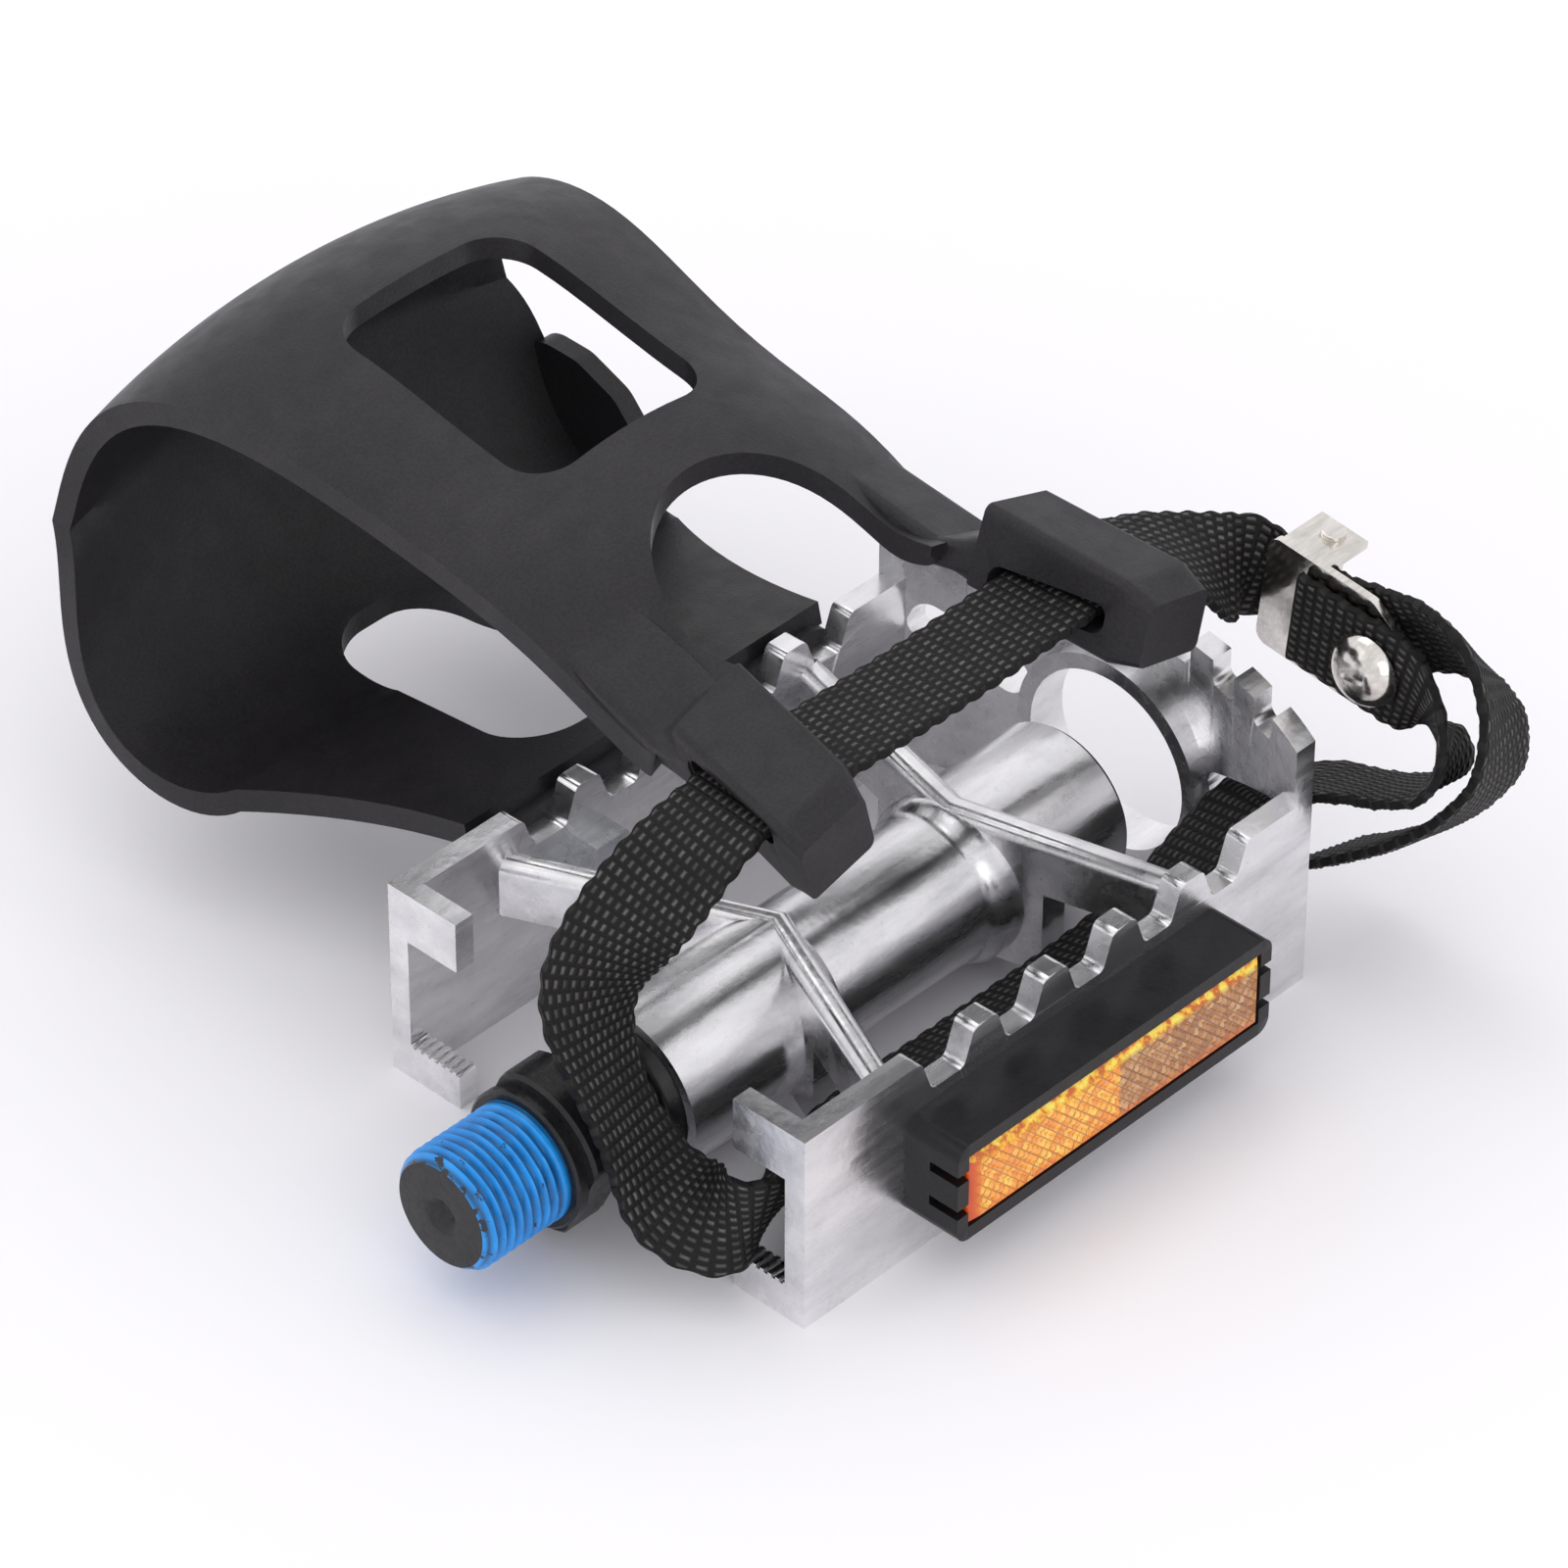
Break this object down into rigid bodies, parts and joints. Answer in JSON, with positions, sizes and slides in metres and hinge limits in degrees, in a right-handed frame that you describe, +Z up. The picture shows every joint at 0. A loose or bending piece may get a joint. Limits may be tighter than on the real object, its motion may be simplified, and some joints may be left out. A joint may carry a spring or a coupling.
{
  "type": "toe clip pedal",
  "caption": "Bicycle platform pedal with a toothed alloy cage on a threaded spindle, a moulded toe clip, a webbing strap with buckle and a rear reflector.",
  "frame": {"origin": "on the spindle axis, at the shoulder that seats against the crank arm", "axes": "+X outboard along the spindle, +Y forward to the toe, +Z up"},
  "size_m": [0.1195, 0.1429, 0.0665],
  "materials": {
    "spindle_steel": "black coated steel, with a blue coat on the thread",
    "bearing_steel": "ground",
    "cage_aluminium": "cast and tumbled bright",
    "seal_plastic": "satin",
    "housing_plastic": "fine grained",
    "lens_amber": "clear amber with a prism pattern behind",
    "clip_plastic": "fine grained",
    "fastener_zinc": "bright zinc plated",
    "strap_webbing": "ribbed woven webbing",
    "buckle_nickel": "bright nickel plated"
  },
  "bodies": {
    "spindle": {"spindle": "spindle_steel", "outboard_cone": "bearing_steel", "lock_washer": "bearing_steel", "lock_nut": "bearing_steel"},
    "pedal": {"inboard_cup": "bearing_steel", "outboard_cup": "bearing_steel", "dust_seal": "seal_plastic", "dust_cap": "seal_plastic", "cage": "cage_aluminium", "reflector_housing": "housing_plastic", "reflector_lens": "lens_amber", "reflector_screws": "fastener_zinc", "toe_clip": "clip_plastic", "toe_clip_bolts": "fastener_zinc", "toe_clip_washers": "fastener_zinc", "toe_clip_nuts": "fastener_zinc", "strap": "strap_webbing", "buckle_frame": "buckle_nickel", "buckle_rivet": "buckle_nickel", "buckle_pin": "buckle_nickel"},
    "inboard_ball_ring": {"inboard_balls": "bearing_steel"},
    "outboard_ball_ring": {"outboard_balls": "bearing_steel"},
    "roller": {"buckle_roller": "buckle_nickel"}
  },
  "joints": [
    {"name": "pedal_spin", "type": "hinge", "parent": "spindle", "child": "pedal", "pos_m": [0.0435, 0, 0], "axis": [1, 0, 0], "continuous": true},
    {"name": "inboard_ball_orbit", "type": "hinge", "parent": "spindle", "child": "inboard_ball_ring", "pos_m": [0.02, 0, 0], "axis": [1, 0, 0], "continuous": true},
    {"name": "outboard_ball_orbit", "type": "hinge", "parent": "spindle", "child": "outboard_ball_ring", "pos_m": [0.0712, 0, 0], "axis": [1, 0, 0], "continuous": true},
    {"name": "roller_spin", "type": "hinge", "parent": "pedal", "child": "roller", "pos_m": [0.1052, -0.01808, 0.02733], "axis": [0, 0.1045, -0.9945], "continuous": true}
  ],
  "couplings": [
    {"joint": "inboard_ball_orbit", "follows": "pedal_spin", "ratio": 0.629},
    {"joint": "outboard_ball_orbit", "follows": "pedal_spin", "ratio": 0.645}
  ]
}
